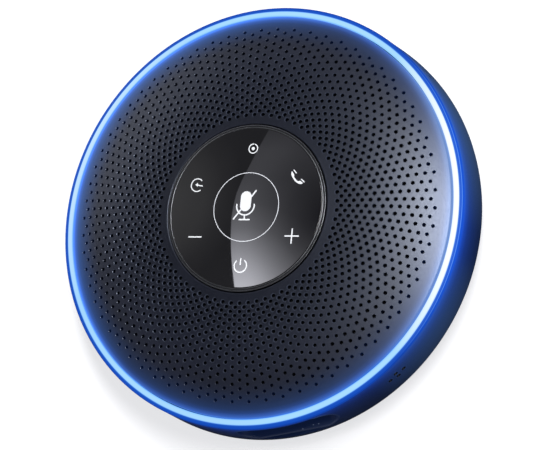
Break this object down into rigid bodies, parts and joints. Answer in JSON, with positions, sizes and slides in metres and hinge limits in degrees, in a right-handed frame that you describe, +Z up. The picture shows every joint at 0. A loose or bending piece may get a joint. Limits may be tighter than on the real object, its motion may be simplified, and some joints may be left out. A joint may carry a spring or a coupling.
{
  "type": "conference speakerphone",
  "caption": "Low round speakerphone with a perforated dome grille, a central round touch panel, a lit rim ring and a recessed socket bay in its side wall.",
  "frame": {"origin": "centre of the circle the foot ring stands on", "axes": "+Z up, through the middle of the touch panel; the user sits on the -Y side, and +X is to their right"},
  "size_m": [0.1254, 0.1254, 0.034],
  "materials": {
    "shell_navy": "satin moulded navy-black plastic, very fine grain",
    "acoustic_cloth": "woven black acoustic cloth",
    "trim_metal": "dark anodised, polished edge",
    "panel_gloss": "gloss black with white printed icons",
    "circuit_board": "green solder mask",
    "black_plastic": "moulded black plastic",
    "bay_plastic": "matte moulded dark navy plastic",
    "light_diffuser": "frosted translucent diffuser, lit blue-white",
    "foot_rubber": "matte moulded rubber",
    "label_film": "blank matt label film",
    "plated_steel": "nickel plated",
    "connector_cream": "moulded nylon",
    "cell_wrap": "shrink-wrapped cell",
    "magnet_ferrite": "sintered ferrite",
    "copper_wire": "enamelled copper winding",
    "speaker_paper": "pressed paper pulp",
    "flex_film": "polyimide film",
    "lead_red": "insulated lead",
    "lead_black": "insulated lead"
  },
  "bodies": {
    "housing": {"acoustic_mesh": "acoustic_cloth", "amplifier_chip": "black_plastic", "audio_jack_left": "black_plastic", "audio_jack_right": "black_plastic", "base_cover": "shell_navy", "base_screw_1": "plated_steel", "base_screw_2": "plated_steel", "base_screw_3": "plated_steel", "base_screw_4": "plated_steel", "battery_cell_left": "cell_wrap", "battery_cell_right": "cell_wrap", "battery_connector": "connector_cream", "battery_cradle_left": "black_plastic", "battery_cradle_right": "black_plastic", "battery_lead_left": "lead_black", "battery_lead_right": "lead_red", "board_screw_1": "plated_steel", "board_screw_2": "plated_steel", "foot_ring": "foot_rubber", "grille_cover": "shell_navy", "inner_frame": "black_plastic", "led_board": "circuit_board", "light_ring": "light_diffuser", "main_board": "circuit_board", "main_housing": "shell_navy", "mic_board_1": "circuit_board", "mic_board_2": "circuit_board", "mic_board_3": "circuit_board", "mic_board_4": "circuit_board", "mic_boot_1": "foot_rubber", "mic_boot_2": "foot_rubber", "mic_boot_3": "foot_rubber", "mic_boot_4": "foot_rubber", "panel_carrier": "black_plastic", "panel_trim_ring": "trim_metal", "port_bezel": "bay_plastic", "processor_shield": "plated_steel", "rating_plate": "label_film", "speaker_basket": "black_plastic", "speaker_connector": "connector_cream", "speaker_enclosure": "black_plastic", "speaker_gasket": "foot_rubber", "speaker_lead": "lead_red", "speaker_magnet": "magnet_ferrite", "speaker_spider": "speaker_paper", "speaker_surround": "foot_rubber", "speaker_top_plate": "plated_steel", "speaker_yoke": "plated_steel", "touch_connector": "black_plastic", "touch_flex": "flex_film", "touch_panel": "panel_gloss", "touch_sensor_board": "circuit_board", "usb_c_receptacle": "plated_steel", "usb_c_tongue": "black_plastic"},
    "cone": {"dust_cap": "speaker_paper", "speaker_cone": "speaker_paper", "voice_coil": "copper_wire"}
  },
  "joints": [
    {"name": "cone_travel", "type": "slide", "parent": "housing", "child": "cone", "axis": [0, 0, 1], "range_m": [-0.0015, 0.0015], "stiffness_N_per_m": 900, "deforming": ["speaker_surround", "speaker_spider"]}
  ]
}
